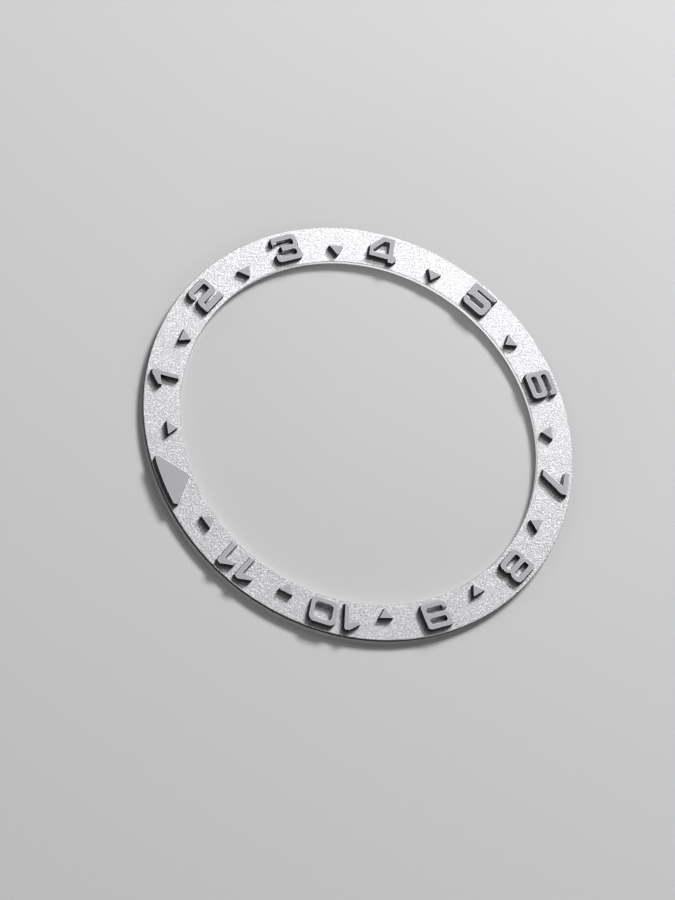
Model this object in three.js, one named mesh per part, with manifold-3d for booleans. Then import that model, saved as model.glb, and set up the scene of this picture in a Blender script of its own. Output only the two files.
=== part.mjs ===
// Bezel ring of a watch: a frosted annular plate with a twelve-hour scale of applied markers.
// Millimetres, +Z up out of the face, twelve o'clock towards +Y, hours clockwise as seen from above.
// The origin is the ring's centre, on the underside of the bonding tape.

import * as THREE from 'three';
import { mergeVertices } from 'three/addons/utils/BufferGeometryUtils.js';
import Module from 'manifold-3d';

const wasm = await Module();
wasm.setup();

// Ring plate
const plate = {
  outerDiameter: 38,
  bandWidth: 3.2, // from the bore to the rim
  thickness: 0.4,
  edgeChamfer: 0.04,
  sides: 144,
};

// Double-sided tape on the back of the plate
const tape = {
  thickness: 0.12,
  edgeInset: 0.15, // bare rim of the plate left on each side of the tape
};

// The scale: what all markers share
const scale = {
  hours: 12,
  markerHeight: 0.4, // above the plate
  wallSpread: 0.08, // a marker's foot is this much larger than its top, all round
  arcStep: 18, // degrees of turn for each facet of a rounded corner
};

// Feet that hold a marker in the plate
const foot = {
  diameter: 0.3,
  clearance: 0.04, // all round, in the drilled hole
  recess: 0.05, // the foot ends this far inside the plate's back
  sides: 12,
};

// What all numerals share
const numeral = {
  boreMargin: 0.44, // bare plate between the bore and the foot of a numeral
  rimMargin: 0.42, // and between its top and the rim
  width: 2.4,
  stroke: 0.43, // upright strokes
  bar: 0.445, // level bars
  corner: 0.38, // outer corners
  slotCorner: 0.16, // inner corners of a counter
  tipCorner: 0.07, // ends of strokes
  hookWidth: 0.47, // an end that turns into an open slot
  hookShare: 0.48, // how far it reaches across the slot
};

// Sizes of single numerals. Heights of their corners are shares of the numeral's height.
const oneSizes = { width: 1.34, headFlat: 0.34, headChamfer: 0.12 };
const oneShares = { flagTop: 0.727, flagFoot: 0.568, flagInside: 0.692 };

const twoSizes = { width: 2.34 };
const twoShares = { baseTop: 0.214, middleFoot: 0.333, middleTop: 0.547, hookOfSlot: 0.63 };

const threeSizes = { middleBarReach: 0.47 }; // left of the centre line

// The notch in the side of three and eight
const waist = { depth: 0.24, height: 0.5 };

const fourSizes = {
  width: 2.4,
  topFlat: 1.05,
  stemRight: 0.63, // right of the centre line
  rightReach: 0.28,
};
const fourShares = { crossBarFoot: 0.12, crossBarTop: 0.32, bluntEndTop: 0.504 };

const fiveSizes = { width: 2.3, stroke: 0.49, slotFlareReach: 0.36 };
const fiveShares = {
  bottomBarTop: 0.231,
  hookTop: 0.29,
  leftBlockFoot: 0.359,
  secondBarFoot: 0.44,
  secondBarTop: 0.692,
  slotTop: 0.778,
  slotFlareTop: 0.829, // at the slot's open end
};

const sevenSizes = {
  headWidth: 2.12,
  footLeft: 0.85, // left of the centre line
  footWidth: 0.62,
  innerCorner: 0.3, // right of the centre line
  leftChamfer: 0.17,
};
const sevenShares = { headFoot: 0.8 }; // where the slanted stroke leaves the head's right end

const zeroSizes = { width: 2.38, stroke: 0.4, corner: 0.55, counterCorner: 0.32 };

// Space between the two digits of ten and of eleven
const digitGap = { ten: 0.67, eleven: 0.59 };

// Large triangle at twelve
const hourTriangle = {
  rimMargin: 0.24, // its base follows the plate's rim at this distance
  boreMargin: 0.54, // from the bore to its blunt tip
  baseWidth: 4.2,
  width: 4.8,
  shoulder: 0.4, // from the base to where it is widest
  tipWidth: 0.16,
  corner: 0.2,
  arcSteps: 8,
};
const hourTriangleShares = { footSpread: 0.46, footHeight: 0.77 }; // of its width and height

// Small triangles at the half hours
const halfHour = {
  boreMargin: 0.425,
  height: 0.93,
  width: 1.29,
  corner: 0.05,
};
const halfHourShares = { footHeight: 0.66 }; // of its height, from the tip

const overrun = 0.2; // the drill for a foot reaches this far past both faces

const rimRadius = plate.outerDiameter / 2;
const boreRadius = rimRadius - plate.bandWidth;
const plateFace = tape.thickness + plate.thickness;
const numeralHeight = plate.bandWidth - numeral.boreMargin - numeral.rimMargin;
const numeralFoot = boreRadius + numeral.boreMargin; // numerals stand on this circle
const numeralMiddle = numeralHeight / 2;
const halfWidth = numeral.width / 2;
const slotEnd = halfWidth - numeral.stroke;
const slotHeight = (numeralHeight - 3 * numeral.bar) / 2;
const lowBarTop = numeral.bar;
const midBarFoot = lowBarTop + slotHeight;
const midBarTop = midBarFoot + numeral.bar;
const topBarFoot = numeralHeight - numeral.bar;
const hookDrop = numeral.hookShare * slotHeight;

// Solids

function solidOf(geometry) {
  geometry.deleteAttribute('normal');
  geometry.deleteAttribute('uv');
  const merged = mergeVertices(geometry);
  return new wasm.Manifold(new wasm.Mesh({
    numProp: 3,
    vertProperties: new Float32Array(merged.attributes.position.array),
    triVerts: new Uint32Array(merged.index.array),
  }));
}

function geometryOf(solid) {
  const mesh = solid.getMesh();
  const geometry = new THREE.BufferGeometry();
  geometry.setAttribute('position', new THREE.BufferAttribute(mesh.vertProperties, mesh.numProp));
  geometry.setIndex(new THREE.BufferAttribute(mesh.triVerts, 1));
  geometry.computeVertexNormals();
  return geometry;
}

// A closed ring from a profile of [radius, height] points that goes down the bore and up the rim.
function turnedRing(profile) {
  const points = [...profile, profile[0]].map(([radius, height]) => new THREE.Vector2(radius, height));
  return new THREE.LatheGeometry(points, plate.sides).rotateX(Math.PI / 2);
}

// An upright round bar between two heights.
function roundBar(diameter, sides, low, high) {
  const bar = new THREE.CylinderGeometry(diameter / 2, diameter / 2, high - low, sides);
  return bar.rotateX(Math.PI / 2).translate(0, 0, (low + high) / 2);
}

// Outlines

// Turns corners [x, y, radius] into points, with an arc at each corner that has a radius.
// Where two arcs would meet on a short side, both shrink until they fit it.
function roundedOutline(corners) {
  const bends = corners.map(([x, y, radius = 0], i) => {
    const corner = new THREE.Vector2(x, y);
    const toBefore = new THREE.Vector2(...corners.at(i - 1)).sub(corner);
    const toAfter = new THREE.Vector2(...corners[(i + 1) % corners.length]).sub(corner);
    const halfAngle = toBefore.angleTo(toAfter) / 2;
    return { corner, toBefore, toAfter, halfAngle, reach: radius / Math.tan(halfAngle) };
  });
  return bends.flatMap(({ corner, toBefore, toAfter, halfAngle, reach }, i) => {
    if (reach === 0) {
      return [corner];
    }
    const before = toBefore.length() / (reach + bends.at(i - 1).reach);
    const after = toAfter.length() / (reach + bends[(i + 1) % bends.length].reach);
    const fitted = reach * Math.min(1, before, after);
    const turn = (Math.PI - 2 * halfAngle) * Math.sign(toAfter.cross(toBefore));
    const steps = Math.ceil(THREE.MathUtils.radToDeg(Math.abs(turn)) / scale.arcStep);
    const start = corner.clone().addScaledVector(toBefore.normalize(), fitted);
    const inwards = toBefore.add(toAfter.normalize()).normalize();
    const centre = corner.clone().addScaledVector(inwards, fitted / Math.cos(halfAngle));
    return Array.from({ length: steps + 1 }, (_, step) => (
      start.clone().rotateAround(centre, turn * step / steps)
    ));
  });
}

function rectangle(left, right, low, high, radius) {
  return [[left, low, radius], [right, low, radius], [right, high, radius], [left, high, radius]];
}

// Numerals. Each gives its outline, its counters and its feet in the numeral's own plane:
// x to the right of its centre line, y up from the circle that it stands on.

function one() {
  const { width, headFlat, headChamfer } = oneSizes;
  const right = width / 2;
  const stemLeft = right - numeral.stroke;
  const stemMiddle = (stemLeft + right) / 2;
  return {
    width,
    outline: [
      [stemLeft, 0],
      [right, 0],
      [right, numeralHeight - headChamfer],
      [right - headChamfer, numeralHeight],
      [right - headChamfer - headFlat, numeralHeight, numeral.tipCorner],
      [-right, oneShares.flagTop * numeralHeight],
      [-right, oneShares.flagFoot * numeralHeight, numeral.tipCorner],
      [stemLeft, oneShares.flagInside * numeralHeight],
    ],
    feet: [[stemMiddle, numeral.stroke], [stemMiddle, topBarFoot]],
  };
}

function two() {
  const side = twoSizes.width / 2;
  const inside = side - numeral.stroke;
  const baseTop = twoShares.baseTop * numeralHeight;
  const middleFoot = twoShares.middleFoot * numeralHeight;
  const middleTop = twoShares.middleTop * numeralHeight;
  const hookFoot = topBarFoot - twoShares.hookOfSlot * (topBarFoot - middleTop);
  return {
    width: twoSizes.width,
    outline: [
      [-side, 0, numeral.tipCorner],
      [side, 0, numeral.tipCorner],
      [side, baseTop, numeral.tipCorner],
      [-inside, baseTop, numeral.tipCorner],
      [-inside, middleFoot, numeral.tipCorner],
      [side, middleFoot, numeral.corner],
      [side, numeralHeight, numeral.corner],
      [-side, numeralHeight, numeral.corner],
      [-side, hookFoot, numeral.tipCorner],
      [-inside, hookFoot, numeral.tipCorner],
      [-inside, topBarFoot, numeral.tipCorner],
      [inside, topBarFoot, numeral.slotCorner],
      [inside, middleTop, numeral.slotCorner],
      [-side, middleTop, numeral.corner],
    ],
    feet: [[-inside, baseTop / 2], [inside, numeralHeight - numeral.bar / 2]],
  };
}

// The right-hand side that three and eight share, from the foot to the top.
function waistedSide() {
  return [
    [halfWidth, 0, numeral.corner],
    [halfWidth, numeralMiddle - waist.height / 2, numeral.slotCorner],
    [halfWidth - waist.depth, numeralMiddle, numeral.tipCorner],
    [halfWidth, numeralMiddle + waist.height / 2, numeral.slotCorner],
    [halfWidth, numeralHeight, numeral.corner],
  ];
}

function three() {
  const { middleBarReach } = threeSizes;
  const hookInside = numeral.hookWidth - halfWidth;
  return {
    width: numeral.width,
    outline: [
      [-halfWidth, 0, numeral.corner],
      ...waistedSide(),
      [-halfWidth, numeralHeight, numeral.corner],
      [-halfWidth, topBarFoot - hookDrop, numeral.tipCorner],
      [hookInside, topBarFoot - hookDrop, numeral.slotCorner],
      [hookInside, topBarFoot, numeral.tipCorner],
      [slotEnd, topBarFoot, numeral.slotCorner],
      [slotEnd, midBarTop, numeral.slotCorner],
      [-middleBarReach, midBarTop, numeral.tipCorner],
      [-middleBarReach, midBarFoot, numeral.tipCorner],
      [slotEnd, midBarFoot, numeral.slotCorner],
      [slotEnd, lowBarTop, numeral.slotCorner],
      [hookInside, lowBarTop, numeral.tipCorner],
      [hookInside, lowBarTop + hookDrop, numeral.slotCorner],
      [-halfWidth, lowBarTop + hookDrop, numeral.tipCorner],
    ],
    feet: [[0, numeral.bar / 2], [0, numeralHeight - numeral.bar / 2]],
  };
}

function four() {
  const { width, topFlat, stemRight, rightReach } = fourSizes;
  const right = stemRight + rightReach;
  const left = right - width;
  const stemLeft = stemRight - numeral.stroke;
  const crossFoot = fourShares.crossBarFoot * numeralHeight;
  const crossTop = fourShares.crossBarTop * numeralHeight;
  const bluntTop = fourShares.bluntEndTop * numeralHeight;
  const apexLeft = stemRight - topFlat;
  const rise = numeralHeight - bluntTop;
  const run = apexLeft - left;
  const slantWidth = numeral.stroke * Math.hypot(run, rise) / rise; // measured level
  const slantInside = (y) => left + (y - bluntTop) * run / rise + slantWidth;
  return {
    width,
    outline: [
      [left, crossFoot, numeral.tipCorner],
      [stemLeft, crossFoot],
      [stemLeft, 0, numeral.tipCorner],
      [stemRight, 0, numeral.tipCorner],
      [right, crossFoot, numeral.tipCorner],
      [right, crossTop, numeral.tipCorner],
      [stemRight, crossTop],
      [stemRight, numeralHeight, numeral.tipCorner],
      [apexLeft, numeralHeight, numeral.tipCorner],
      [left, bluntTop, numeral.tipCorner],
    ],
    counters: [[
      [slantInside(crossTop), crossTop, numeral.tipCorner],
      [stemLeft, crossTop, numeral.tipCorner],
      [stemLeft, topBarFoot, numeral.tipCorner],
      [slantInside(topBarFoot), topBarFoot, numeral.tipCorner],
    ]],
    feet: [
      [left + numeral.stroke, (crossFoot + crossTop) / 2],
      [stemRight - numeral.stroke / 2, topBarFoot],
    ],
  };
}

function five() {
  const side = fiveSizes.width / 2;
  const inside = side - fiveSizes.stroke;
  const bottomTop = fiveShares.bottomBarTop * numeralHeight;
  const hookTop = fiveShares.hookTop * numeralHeight;
  const secondFoot = fiveShares.secondBarFoot * numeralHeight;
  const secondTop = fiveShares.secondBarTop * numeralHeight;
  const slotTop = fiveShares.slotTop * numeralHeight;
  return {
    width: fiveSizes.width,
    outline: [
      [-side, 0, numeral.corner],
      [side, 0, numeral.corner],
      [side, secondTop, numeral.corner],
      [-inside, secondTop, numeral.tipCorner],
      [-inside, slotTop, numeral.tipCorner],
      [side - fiveSizes.slotFlareReach, slotTop],
      [side, fiveShares.slotFlareTop * numeralHeight, numeral.tipCorner],
      [side, numeralHeight, numeral.tipCorner],
      [-side, numeralHeight, numeral.slotCorner],
      [-side, fiveShares.leftBlockFoot * numeralHeight, numeral.tipCorner],
      [-inside, secondFoot, numeral.tipCorner],
      [inside, secondFoot, numeral.slotCorner],
      [inside, bottomTop, numeral.slotCorner],
      [-inside, bottomTop, numeral.tipCorner],
      [-inside, hookTop, numeral.tipCorner],
      [-side, hookTop, numeral.tipCorner],
    ],
    feet: [[0, bottomTop / 2], [-inside, (secondFoot + secondTop) / 2]],
  };
}

function six() {
  const hookInside = halfWidth - numeral.hookWidth;
  return {
    width: numeral.width,
    outline: [
      [-halfWidth, 0, numeral.corner],
      [halfWidth, 0, numeral.corner],
      [halfWidth, midBarTop, numeral.corner],
      [-slotEnd, midBarTop, numeral.slotCorner],
      [-slotEnd, topBarFoot, numeral.slotCorner],
      [hookInside, topBarFoot, numeral.tipCorner],
      [hookInside, topBarFoot - hookDrop, numeral.slotCorner],
      [halfWidth, topBarFoot - hookDrop, numeral.tipCorner],
      [halfWidth, numeralHeight, numeral.corner],
      [-halfWidth, numeralHeight, numeral.corner],
    ],
    counters: [rectangle(-slotEnd, slotEnd, lowBarTop, midBarFoot, numeral.slotCorner)],
    feet: [[0, numeral.bar / 2], [0, numeralHeight - numeral.bar / 2]],
  };
}

function seven() {
  const { headWidth, footLeft, footWidth, innerCorner, leftChamfer } = sevenSizes;
  const right = headWidth / 2;
  return {
    width: headWidth,
    outline: [
      [-footLeft, 0, numeral.tipCorner],
      [footWidth - footLeft, 0, numeral.tipCorner],
      [right, sevenShares.headFoot * numeralHeight, numeral.tipCorner],
      [right, numeralHeight, numeral.tipCorner],
      [-right, numeralHeight, numeral.tipCorner],
      [-right, topBarFoot + leftChamfer],
      [leftChamfer - right, topBarFoot],
      [innerCorner, topBarFoot, numeral.tipCorner],
    ],
    feet: [
      [(footWidth + numeral.bar) / 2 - footLeft, numeral.bar],
      [innerCorner, numeralHeight - numeral.bar / 2],
    ],
  };
}

function eight() {
  const side = waistedSide();
  return {
    width: numeral.width,
    outline: [...side, ...side.map(([x, y, radius]) => [-x, y, radius]).reverse()],
    counters: [
      rectangle(-slotEnd, slotEnd, lowBarTop, midBarFoot, numeral.slotCorner),
      rectangle(-slotEnd, slotEnd, midBarTop, topBarFoot, numeral.slotCorner),
    ],
    feet: [[0, numeral.bar / 2], [0, numeralHeight - numeral.bar / 2]],
  };
}

// Nine is six turned upside down.
function nine() {
  const turned = (points) => points.map(([x, y, ...radius]) => [-x, numeralHeight - y, ...radius]);
  const { width, outline, counters, feet } = six();
  return { width, outline: turned(outline), counters: counters.map(turned), feet: turned(feet) };
}

function zero() {
  const { width, stroke, corner, counterCorner } = zeroSizes;
  const side = width / 2;
  return {
    width,
    outline: rectangle(-side, side, 0, numeralHeight, corner),
    counters: [rectangle(stroke - side, side - stroke, lowBarTop, topBarFoot, counterCorner)],
    feet: [[(stroke - width) / 2, numeralMiddle], [(width - stroke) / 2, numeralMiddle]],
  };
}

// Triangles. Their outlines are given from the ring's centre, with y along their own hour line.

function largeTriangle() {
  const { rimMargin, boreMargin, baseWidth, width, shoulder, tipWidth, corner, arcSteps } = hourTriangle;
  const baseRadius = rimRadius - rimMargin;
  const tipRadius = boreRadius + boreMargin;
  const widest = baseRadius - shoulder;
  const halfArc = Math.asin(baseWidth / 2 / baseRadius);
  const base = Array.from({ length: arcSteps + 1 }, (_, step) => {
    const angle = halfArc * (1 - 2 * step / arcSteps);
    return [baseRadius * Math.sin(angle), baseRadius * Math.cos(angle)];
  });
  const footX = hourTriangleShares.footSpread * width / 2;
  const footY = tipRadius + hourTriangleShares.footHeight * (baseRadius - tipRadius);
  return {
    fromCentre: true,
    outline: [
      [tipWidth / 2, tipRadius],
      [width / 2, widest, corner],
      ...base,
      [-width / 2, widest, corner],
      [-tipWidth / 2, tipRadius],
    ],
    feet: [[-footX, footY], [footX, footY]],
  };
}

function smallTriangle() {
  const { boreMargin, height, width, corner } = halfHour;
  const tip = boreRadius + boreMargin;
  const base = tip + height;
  return {
    fromCentre: true,
    outline: [[0, tip, corner], [width / 2, base, corner], [-width / 2, base, corner]],
    feet: [[0, tip + halfHourShares.footHeight * height]],
  };
}

// Markers and their places. hour is where the marker stands on the scale, turn leans it round the
// ring by a further angle, and shift moves it sideways in its own plane.

const numerals = [one, two, three, four, five, six, seven, eight, nine];
const digitMiddle = numeralFoot + numeralMiddle;
const tenWidth = one().width + digitGap.ten + zero().width;
const elevenPitch = one().width + digitGap.eleven;
const clockName = (hour) => `${Math.floor(hour) || scale.hours}_30`;

const markers = [
  ...numerals.map((glyph, i) => ({ name: `numeral_${i + 1}`, glyph: glyph(), hour: i + 1 })),
  { name: 'numeral_10_one', glyph: one(), hour: 10, turn: (tenWidth - one().width) / 2 / digitMiddle },
  { name: 'numeral_10_zero', glyph: zero(), hour: 10, turn: (zero().width - tenWidth) / 2 / digitMiddle },
  { name: 'numeral_11_left', glyph: one(), hour: 11, shift: -elevenPitch / 2 },
  { name: 'numeral_11_right', glyph: one(), hour: 11, shift: elevenPitch / 2 },
  { name: 'triangle_12', glyph: largeTriangle(), hour: 12 },
  ...Array.from({ length: scale.hours }, (_, i) => (
    { name: `half_hour_triangle_${clockName(i)}`, glyph: smallTriangle(), hour: i + 0.5 }
  )),
];

function markerAngle({ hour, turn = 0 }) {
  return turn - hour * 2 * Math.PI / scale.hours;
}

// Where a marker's own origin lies in its turned plane.
function markerPlace({ glyph, shift = 0 }) {
  return new THREE.Vector3(shift, glyph.fromCentre ? 0 : numeralFoot, plateFace);
}

// The outline is that of the marker's top. Extruding gives it a bevel at both ends, which spreads it
// towards the middle; the lower bevel alone, turned over, is the marker with its leaning walls.
function markerSolid({ outline, counters = [], feet }) {
  const { markerHeight, wallSpread } = scale;
  const shape = new THREE.Shape(roundedOutline(outline));
  shape.holes = counters.map((counter) => new THREE.Path(roundedOutline(counter)));
  const extruded = new THREE.ExtrudeGeometry(shape, {
    depth: markerHeight,
    bevelThickness: markerHeight,
    bevelSize: wallSpread,
    bevelSegments: 1,
  });
  const body = solidOf(extruded).trimByPlane([0, 0, -1], 0).mirror([0, 0, 1]);
  return feet.reduce((solid, [x, y]) => {
    const bar = roundBar(foot.diameter, foot.sides, foot.recess - plate.thickness, markerHeight / 2);
    return solid.add(solidOf(bar.translate(x, y, 0)));
  }, body);
}

// Pieces

const steel = new THREE.MeshStandardMaterial({ color: '#d3d4d8', roughness: 0.5, metalness: 0.9 });
const blackenedSteel = new THREE.MeshStandardMaterial({ color: '#8f9096', roughness: 0.4, metalness: 0.8 });
const tapeFoam = new THREE.MeshStandardMaterial({ color: '#e8e4da', roughness: 0.8, metalness: 0 });

function makePlate() {
  const { thickness, edgeChamfer } = plate;
  const chamfered = [
    [boreRadius, thickness - edgeChamfer],
    [boreRadius, edgeChamfer],
    [boreRadius + edgeChamfer, 0],
    [rimRadius - edgeChamfer, 0],
    [rimRadius, edgeChamfer],
    [rimRadius, thickness - edgeChamfer],
    [rimRadius - edgeChamfer, thickness],
    [boreRadius + edgeChamfer, thickness],
  ];
  const drilled = markers.reduce((solid, marker) => {
    const place = markerPlace(marker);
    return marker.glyph.feet.reduce((left, [x, y]) => {
      const hole = roundBar(foot.diameter + 2 * foot.clearance, foot.sides, -overrun, thickness + overrun);
      return left.subtract(solidOf(hole.translate(place.x + x, place.y + y, 0).rotateZ(markerAngle(marker))));
    }, solid);
  }, solidOf(turnedRing(chamfered)));
  const mesh = new THREE.Mesh(geometryOf(drilled), steel.clone());
  mesh.name = 'ring_plate';
  mesh.position.z = tape.thickness;
  return mesh;
}

function makeTape() {
  const outer = rimRadius - tape.edgeInset;
  const inner = boreRadius + tape.edgeInset;
  const section = [[inner, tape.thickness], [inner, 0], [outer, 0], [outer, tape.thickness]];
  const mesh = new THREE.Mesh(turnedRing(section), tapeFoam.clone());
  mesh.name = 'bonding_tape';
  return mesh;
}

function makeMarker(marker) {
  const mesh = new THREE.Mesh(geometryOf(markerSolid(marker.glyph)), blackenedSteel.clone());
  mesh.name = marker.name;
  mesh.position.copy(markerPlace(marker));
  const turned = new THREE.Group();
  turned.rotation.z = markerAngle(marker);
  turned.add(mesh);
  return turned;
}

const bezelRing = new THREE.Group();
bezelRing.name = 'bezel_ring';
bezelRing.add(makePlate(), makeTape(), ...markers.map(makeMarker));

export default bezelRing;
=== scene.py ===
from math import cos, radians, sin

import bmesh
import bpy
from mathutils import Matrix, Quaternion, Vector
from mathutils.bvhtree import BVHTree


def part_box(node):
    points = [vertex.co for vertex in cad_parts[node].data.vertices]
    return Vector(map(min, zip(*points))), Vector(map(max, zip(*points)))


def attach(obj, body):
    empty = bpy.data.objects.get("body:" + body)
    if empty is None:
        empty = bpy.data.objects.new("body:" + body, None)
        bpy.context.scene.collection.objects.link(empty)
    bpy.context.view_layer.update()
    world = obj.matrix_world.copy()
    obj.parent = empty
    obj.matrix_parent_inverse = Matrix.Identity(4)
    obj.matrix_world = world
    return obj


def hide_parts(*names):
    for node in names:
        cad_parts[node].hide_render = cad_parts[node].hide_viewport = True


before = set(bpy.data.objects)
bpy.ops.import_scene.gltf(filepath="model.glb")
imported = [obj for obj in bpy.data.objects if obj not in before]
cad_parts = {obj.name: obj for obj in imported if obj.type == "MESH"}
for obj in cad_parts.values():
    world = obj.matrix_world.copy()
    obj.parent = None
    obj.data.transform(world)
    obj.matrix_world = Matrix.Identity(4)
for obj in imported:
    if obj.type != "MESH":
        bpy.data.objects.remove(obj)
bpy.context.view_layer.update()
scene = bpy.context.scene
scene.view_settings.view_transform = "Standard"
mm = 0.001
print("frame loaded:", len(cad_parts), "solids")


def direction(azimuth, elevation):
    a, e = radians(azimuth), radians(elevation)
    return Vector((cos(a) * cos(e), sin(a) * cos(e), sin(e)))


# camera: a long lens from above the eleven o'clock side, rolled so that half past three is at the top
camera = {
    "aim": Vector((-1.081, 2.580, 0.52)) * mm,
    "azimuth": 124.43,
    "elevation": 59.68,
    "roll": 37.17,
    "distance": 682.1 * mm,
    "lens": 324.7,
    "clipStart": 0.05,
    "clipEnd": 20,
}
towards = direction(camera["azimuth"], camera["elevation"])
turn = towards.to_track_quat("Z", "Y") @ Quaternion((0, 0, 1), radians(camera["roll"]))
bpy.ops.object.camera_add(location=camera["aim"] + towards * camera["distance"], rotation=turn.to_euler())
lookout = bpy.context.object
lookout.name = "camera"
lookout.data.lens = camera["lens"]
lookout.data.clip_start = camera["clipStart"]
lookout.data.clip_end = camera["clipEnd"]
scene.camera = lookout
print("camera placed")


# shader maths: a Wire is one output socket, and an expression on Wires adds the nodes that work it out
class Wire:
    def __init__(self, tree, socket):
        self.tree = tree
        self.socket = socket

    # any node: its settings first, then its sockets by name, or by number as input6
    def node(self, kind, settings=None, output=0, **values):
        made = self.tree.nodes.new(kind)
        for key, value in (settings or {}).items():
            setattr(made, key, value)
        for key, value in values.items():
            name = key.replace("_", " ")
            slot = made.inputs[int(name[5:])] if name.startswith("input") else made.inputs[name]
            plug(self.tree, slot, value)
        return Wire(self.tree, made.outputs[output])

    def maths(self, operation, first, second):
        return self.node("ShaderNodeMath", {"operation": operation}, input0=first, input1=second)

    def __add__(self, other):
        return self.maths("ADD", self, other)

    def __sub__(self, other):
        return self.maths("SUBTRACT", self, other)

    def __rsub__(self, other):
        return self.maths("SUBTRACT", other, self)

    def __mul__(self, other):
        return self.maths("MULTIPLY", self, other)

    __radd__, __rmul__ = __add__, __mul__


def plug(tree, slot, value):
    if isinstance(value, Wire):
        tree.links.new(value.socket, slot)
    else:
        slot.default_value = value


def newFinish(name, **constants):
    material = bpy.data.materials.new(name)
    material.use_nodes = True
    tree = material.node_tree
    shader = tree.nodes["Principled BSDF"]
    for key, value in constants.items():
        shader.inputs[key.replace("_", " ")].default_value = value
    return material, tree, shader, Wire(tree, tree.nodes.new("ShaderNodeTexCoord").outputs["Object"])


# smooth finishes: fine grain and slow clouds in the colour, the clouds in the gloss and the grain in the bump
coat = {
    "cloudScale": 1100.0,
    "grainShare": 0.6,
    "cloudShare": 0.4,
    "roughnessSwing": 0.16,
    "bump": 0.6,
}


def coated(name, look, **constants):
    material, tree, shader, place = newFinish(name, **constants)
    grain = place.node("ShaderNodeTexNoise", output="Fac", Vector=place, Scale=look["grainScale"],
                       Detail=4.0, Roughness=0.6)
    cloud = place.node("ShaderNodeTexNoise", output="Fac", Vector=place, Scale=coat["cloudScale"],
                       Detail=2.0, Roughness=0.5)
    tone = place.node("ShaderNodeMix", {"data_type": "RGBA"}, output=2,
                      Factor=grain * coat["grainShare"] + cloud * coat["cloudShare"],
                      input6=look["low"], input7=look["high"])
    swing = coat["roughnessSwing"]
    bump = place.node("ShaderNodeBump", output="Normal", Strength=coat["bump"], Distance=look["depth"],
                      Height=grain)
    plug(tree, shader.inputs["Base Color"], tone)
    plug(tree, shader.inputs["Roughness"], cloud * swing + look["roughness"] - swing / 2)
    plug(tree, shader.inputs["Normal"], bump)
    return material


# painted shade: near-black gloss on the rim of the plate and on the outer walls of the markers, whose metal
# there shows only shade
paintedShadeGloss = {
    "low": (0.008, 0.008, 0.009, 1),
    "high": (0.020, 0.020, 0.021, 1),
    "roughness": 0.22,
    "grainScale": 9000.0,
    "depth": 0.002 * mm,
}
paintedShadeWall = coated("glossBlackPaintedShade", paintedShadeGloss, Specular_IOR_Level=0.3)

# a solid's loose triangles are merged to whole flat faces before it is worked on
solid = {
    "merge": 0.0005 * mm,
    "flatAngle": radians(0.4),  # neighbours that turn by less than this become one face
    "smoothAngle": radians(20),
}


def chooseEdges(piece, wanted):
    bpy.ops.mesh.select_mode(type="EDGE")
    bpy.ops.mesh.select_all(action="DESELECT")
    work = bmesh.from_edit_mesh(piece.data)
    for edge in work.edges:
        edge.select_set(wanted(edge))
    work.select_flush_mode()
    bmesh.update_edit_mesh(piece.data)


def chooseFaces(piece, wanted):
    bpy.ops.mesh.select_mode(type="FACE")
    bpy.ops.mesh.select_all(action="DESELECT")
    work = bmesh.from_edit_mesh(piece.data)
    work.normal_update()
    for face in work.faces:
        face.select_set(wanted(face))
    bmesh.update_edit_mesh(piece.data)


def painted(piece, index):
    piece.active_material_index = index
    bpy.ops.object.material_slot_assign()


def workingCopy(nodeName, pieceName, finishes):
    bpy.ops.object.select_all(action="DESELECT")
    piece = bpy.data.objects.new(pieceName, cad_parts[nodeName].data.copy())
    scene.collection.objects.link(piece)
    piece.data.materials.clear()
    for finish in finishes:
        piece.data.materials.append(finish)
    bpy.context.view_layer.objects.active = piece
    piece.select_set(True)
    bpy.ops.object.mode_set(mode="EDIT")
    bpy.ops.mesh.select_all(action="SELECT")
    bpy.ops.mesh.remove_doubles(threshold=solid["merge"])
    bpy.ops.mesh.select_all(action="SELECT")
    bpy.ops.mesh.dissolve_limited(angle_limit=solid["flatAngle"])
    return piece


def finishPiece(piece, nodeName):
    bpy.ops.object.mode_set(mode="OBJECT")
    bpy.ops.object.shade_smooth_by_angle(angle=solid["smoothAngle"])
    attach(piece, "root")
    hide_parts(nodeName)


# plate: frosted on its face and chamfers, with painted shade in near-black round the rim and painted light in
# pale on the bore wall
plate = {
    "node": "ring_plate",
    "piece": "frosted_ring",
    "rimBeyond": 18.9 * mm,  # upright faces farther out than this are the rim
    "boreWithin": 15.9 * mm,  # and nearer in than this the bore
    "upright": 0.1,  # a face whose normal rises or falls less than this is upright
    # painted light: the bore wall is pale, as if lit
    "bore": {
        "low": (0.80, 0.80, 0.81, 1),
        "high": (0.90, 0.90, 0.91, 1),
        "roughness": 0.6,
        "grainScale": 12000.0,
        "depth": 0.002 * mm,
    },
}

# frosted silver: blasted metal, craters a seventh of a millimetre across with grit between them
frost = {
    "low": (0.15, 0.15, 0.156, 1),
    "high": (0.69, 0.69, 0.711, 1),
    "metal": 0.8,
    "craterScale": 7200,
    "craterShare": 0.7,
    "gritScale": 11500,
    "gritShare": 1.3,
    "cloudScale": 900,
    "cloudShare": 0.2,
    "toneDrop": 0.57,
    "roughness": 0.36,
    "roughnessSwing": 0.22,
    "depth": 0.011 * mm,
    "craterDepthShare": 0.7,
    "gritDepthShare": 0.5,
}


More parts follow.
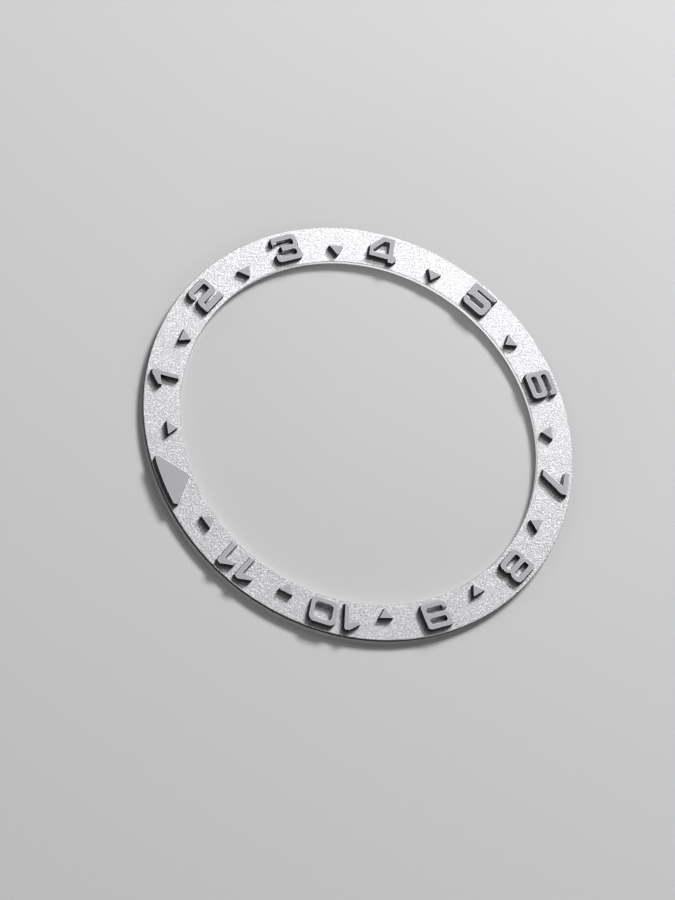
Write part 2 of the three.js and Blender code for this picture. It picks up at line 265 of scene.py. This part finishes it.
def frostedSilver():
    material, tree, shader, place = newFinish("frostedSilver", Metallic=frost["metal"])
    crater = place.node("ShaderNodeTexVoronoi", {"feature": "SMOOTH_F1"}, output="Distance",
                        Vector=place, Scale=frost["craterScale"], Smoothness=0.6)
    grit = place.node("ShaderNodeTexNoise", output="Fac", Vector=place, Scale=frost["gritScale"],
                      Detail=2.0, Roughness=0.6)
    cloud = place.node("ShaderNodeTexNoise", output="Fac", Vector=place, Scale=frost["cloudScale"],
                       Detail=3.0, Roughness=0.55)
    shine = crater * frost["craterShare"] + grit * frost["gritShare"] + cloud * frost["cloudShare"]
    tone = place.node("ShaderNodeMix", {"data_type": "RGBA"}, output=2, Factor=shine - frost["toneDrop"],
                      input6=frost["low"], input7=frost["high"])
    swing = frost["roughnessSwing"]
    relief = crater * frost["craterDepthShare"] + grit * frost["gritDepthShare"]
    bump = place.node("ShaderNodeBump", output="Normal", Strength=1.0, Distance=frost["depth"], Height=relief)
    plug(tree, shader.inputs["Base Color"], tone)
    plug(tree, shader.inputs["Roughness"], grit * swing + frost["roughness"] - swing / 2)
    plug(tree, shader.inputs["Normal"], bump)
    return material


def upright(face):
    return abs(face.normal.z) < plate["upright"]


def fromAxis(face):
    return face.calc_center_median().to_2d().length


ring = workingCopy(plate["node"], plate["piece"],
                   (frostedSilver(), paintedShadeWall, coated("paintedLightBore", plate["bore"])))
# the rim is painted near-black as shade, and the bore wall pale as light
chooseFaces(ring, lambda face: upright(face) and fromAxis(face) > plate["rimBeyond"])
painted(ring, 1)
chooseFaces(ring, lambda face: upright(face) and fromAxis(face) < plate["boreWithin"])
painted(ring, 2)
finishPiece(ring, plate["node"])
print("plate done")

# tape: an off-white film on the back
tape = {
    "node": "bonding_tape",
    "piece": "tape_ring",
    "film": {
        "low": (0.70, 0.69, 0.66, 1),
        "high": (0.80, 0.79, 0.76, 1),
        "roughness": 0.62,
        "grainScale": 5000.0,
        "depth": 0.006 * mm,
    },
}
backing = workingCopy(tape["node"], tape["piece"], (coated("tapeFilm", tape["film"]),))
finishPiece(backing, tape["node"])
print("tape done")

# markers: smooth satin grey on top, painted shade in near-black gloss on the walls, and a painted highlight as
# a fine lighter line along the top edge.
# A wall with another wall of the same marker close opposite is polished metal: the two long sides of a slot,
# and every side of the wide openings of four, seven and zero; all other walls keep the painted shade
marker = {
    "top": {
        "low": (0.305, 0.305, 0.324, 1),
        "high": (0.343, 0.343, 0.362, 1),
        "roughness": 0.7,
        "grainScale": 14000.0,
        "depth": 0.0015 * mm,
    },
    "inner": {
        "low": (0.47, 0.47, 0.487, 1),
        "high": (0.58, 0.58, 0.597, 1),
        "roughness": 0.36,
        "grainScale": 9000.0,
        "depth": 0.002 * mm,
    },
    # painted highlight: a lighter line along the top edge
    "edge": {
        "low": (0.68, 0.68, 0.70, 1),
        "high": (0.78, 0.78, 0.80, 1),
        "roughness": 0.35,
        "grainScale": 12000.0,
        "depth": 0.001 * mm,
    },
    "slotReach": 0.9 * mm,  # how far across an opening the wall opposite may be
    "wideReach": 1.9 * mm,  # the same for the nodes with a wide opening
    "wideNodes": ("numeral_4", "numeral_7", "numeral_10_zero"),
    "wallSlope": 0.5,  # a face whose normal rises or falls more than this is no wall
    "rayStart": 0.002 * mm,
    "edgeRadius": 0.026 * mm,
    "edgeFold": radians(60),  # top edges that turn by more than this are bevelled
    "line": 0.022 * mm,  # width of the painted highlight line; with the radius it stays under the tightest corner
    "flatFrom": 0.999,
    "topBand": 0.01 * mm,  # what lies this close to the highest point counts as the top
}


def facesItself(face, shape, reach):
    level = Vector((face.normal.x, face.normal.y, 0.0))
    if abs(face.normal.z) > marker["wallSlope"]:
        return False
    start = face.calc_center_median() + level * marker["rayStart"]
    return shape.ray_cast(start, level, reach)[0] is not None


def outlines(edge, topLevel):
    onTop = all(abs(v.co.z - topLevel) < marker["topBand"] for v in edge.verts)
    return onTop and abs(edge.calc_face_angle(0.0)) > marker["edgeFold"]


def isTop(face, topLevel):
    return face.normal.z > marker["flatFrom"] and face.calc_center_median().z > topLevel - marker["topBand"]


markerFinishes = (
    coated("satinGreyTop", marker["top"]),
    paintedShadeWall,
    coated("paintedHighlightEdge", marker["edge"]),
    coated("polishedInnerWall", marker["inner"], Metallic=1.0),
)
markerNodes = sorted(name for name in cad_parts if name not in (plate["node"], tape["node"]))
for nodeName in markerNodes:
    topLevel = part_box(nodeName)[1].z
    piece = workingCopy(nodeName, "applied_" + nodeName, markerFinishes)
    shape = BVHTree.FromBMesh(bmesh.from_edit_mesh(piece.data))
    reach = marker["wideReach"] if nodeName in marker["wideNodes"] else marker["slotReach"]
    # every face starts with the painted shade in near-black; the walls that face another wall of the marker
    # then become polished metal
    chooseFaces(piece, lambda face: True)
    painted(piece, 1)
    chooseFaces(piece, lambda face: facesItself(face, shape, reach))
    painted(piece, 3)

    # the bevel keeps the painted shade in black, and the painted highlight line is inset inside it
    chooseEdges(piece, lambda edge: outlines(edge, topLevel))
    bpy.ops.mesh.bevel(offset_type="OFFSET", offset=marker["edgeRadius"], segments=2, profile=0.5,
                       affect="EDGES", clamp_overlap=False, loop_slide=False, material=1)
    chooseFaces(piece, lambda face: isTop(face, topLevel))
    painted(piece, 2)
    bpy.ops.mesh.inset(thickness=marker["line"], use_even_offset=True)
    painted(piece, 0)
    finishPiece(piece, nodeName)
print("markers done:", len(markerNodes))

# floor and light: a plain pale table, large soft boxes on the far side, weak ones on the other sides and above
studio = {
    "floor": (0.485, 0.485, 0.49, 1),
    "floorRoughness": 0.8,
    "floorSize": 4.0,
    "floorGap": 0.002 * mm,  # between the tape and the floor
    "world": 0.042,
    "boxes": {
        "lowBox": {"azimuth": 307, "elevation": 28, "distance": 0.6, "size": (0.21, 0.105), "power": 6.4},
        "middleBox": {"azimuth": 307, "elevation": 43, "distance": 0.6, "size": (0.21, 0.233), "power": 0.30},
        "nearBox": {"azimuth": 318, "elevation": 45, "distance": 0.13, "size": (0.06, 0.036), "power": 0.012},
        "frontStrip": {"azimuth": 124.4, "elevation": 2.5, "distance": 0.5, "size": (0.3, 0.02), "power": 2.3},
        "leftFill": {"azimuth": 37, "elevation": 26, "distance": 0.6, "size": (0.3, 0.16), "power": 0.44},
        "rightFill": {"azimuth": 217, "elevation": 26, "distance": 0.6, "size": (0.3, 0.16), "power": 0.44},
        "backFill": {"azimuth": 127, "elevation": 26, "distance": 0.6, "size": (0.3, 0.16), "power": 0.16},
        "topFill": {"azimuth": 307, "elevation": 89, "distance": 0.6, "size": (0.3, 0.3), "power": 0.12},
    },
}
bpy.ops.object.select_all(action="DESELECT")
bpy.ops.mesh.primitive_plane_add(size=studio["floorSize"], location=(0, 0, -studio["floorGap"]))
floor = bpy.context.object
floor.name = "floor"
floorFinish, _, floorShader, _ = newFinish("paleFloor", Roughness=studio["floorRoughness"])
floorShader.inputs["Base Color"].default_value = studio["floor"]
floor.data.materials.append(floorFinish)

world = bpy.data.worlds.new("studio")
scene.world = world
world.use_nodes = True
world.node_tree.nodes["Background"].inputs["Color"].default_value = (1, 1, 1, 1)
world.node_tree.nodes["Background"].inputs["Strength"].default_value = studio["world"]

for boxName, box in studio["boxes"].items():
    away = direction(box["azimuth"], box["elevation"])
    bpy.ops.object.light_add(type="AREA", location=away * box["distance"],
                             rotation=away.to_track_quat("Z", "Y").to_euler())
    softBox = bpy.context.object
    softBox.name = boxName
    softBox.data.shape = "RECTANGLE"
    softBox.data.size, softBox.data.size_y = box["size"]
    softBox.data.energy = box["power"]
print("studio lit")
